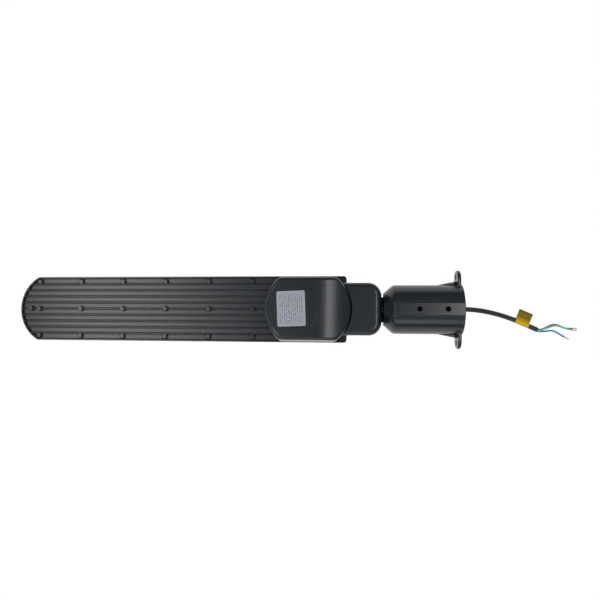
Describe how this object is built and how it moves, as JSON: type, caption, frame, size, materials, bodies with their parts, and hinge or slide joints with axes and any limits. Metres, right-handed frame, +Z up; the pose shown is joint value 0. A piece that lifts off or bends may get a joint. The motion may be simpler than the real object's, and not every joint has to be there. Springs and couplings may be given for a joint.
{
  "type": "led street light head",
  "caption": "Long flat street light head with cooling fins, a driver cover, a tilting neck and a round socket for the pole, with its supply cable.",
  "frame": {"origin": "centre of the pole socket's mouth", "axes": "+X out of the socket's mouth along the pole, +Z up on the side of the cooling fins, with the lamp's tip towards -X"},
  "size_m": [0.8087, 0.108, 0.0761],
  "materials": {
    "casting": "fine satin powder coat",
    "seal": "matte",
    "board": "white solder mask",
    "led": "phosphor",
    "lens": "clear moulded",
    "steel": "stainless",
    "black_steel": "blackened",
    "driver_case": "plain",
    "terminal": "matte",
    "cable": "satin sheath",
    "core_blue": "insulation",
    "core_brown": "insulation",
    "core_green": "insulation",
    "copper": "bare stranded wire",
    "tag": "printed film"
  },
  "bodies": {
    "bracket": {"pole_bracket": "casting", "tip_grommet": "seal", "set_screws": "black_steel", "hinge_bolt": "steel", "hinge_nut": "steel", "hinge_washers": "steel", "supply_cable": "cable", "core_blue": "core_blue", "core_brown": "core_brown", "core_green": "core_green", "core_ends": "copper", "cable_tag": "tag"},
    "head": {"heatsink_housing": "casting", "driver_cover": "casting", "cover_gasket": "seal", "led_board": "board", "leds": "led", "lens_gasket": "seal", "lens_plate": "lens", "lens_screws": "steel", "led_driver": "driver_case", "driver_screws": "steel", "cover_screws": "steel", "terminal_block": "terminal", "breather_vent": "terminal", "neck_grommet": "seal", "neck_lead": "cable"}
  },
  "joints": [
    {"name": "tilt", "type": "hinge", "parent": "bracket", "child": "head", "pos_m": [-0.108, 0, -0.024], "axis": [0, -1, 0], "range_deg": [0, 90]}
  ]
}
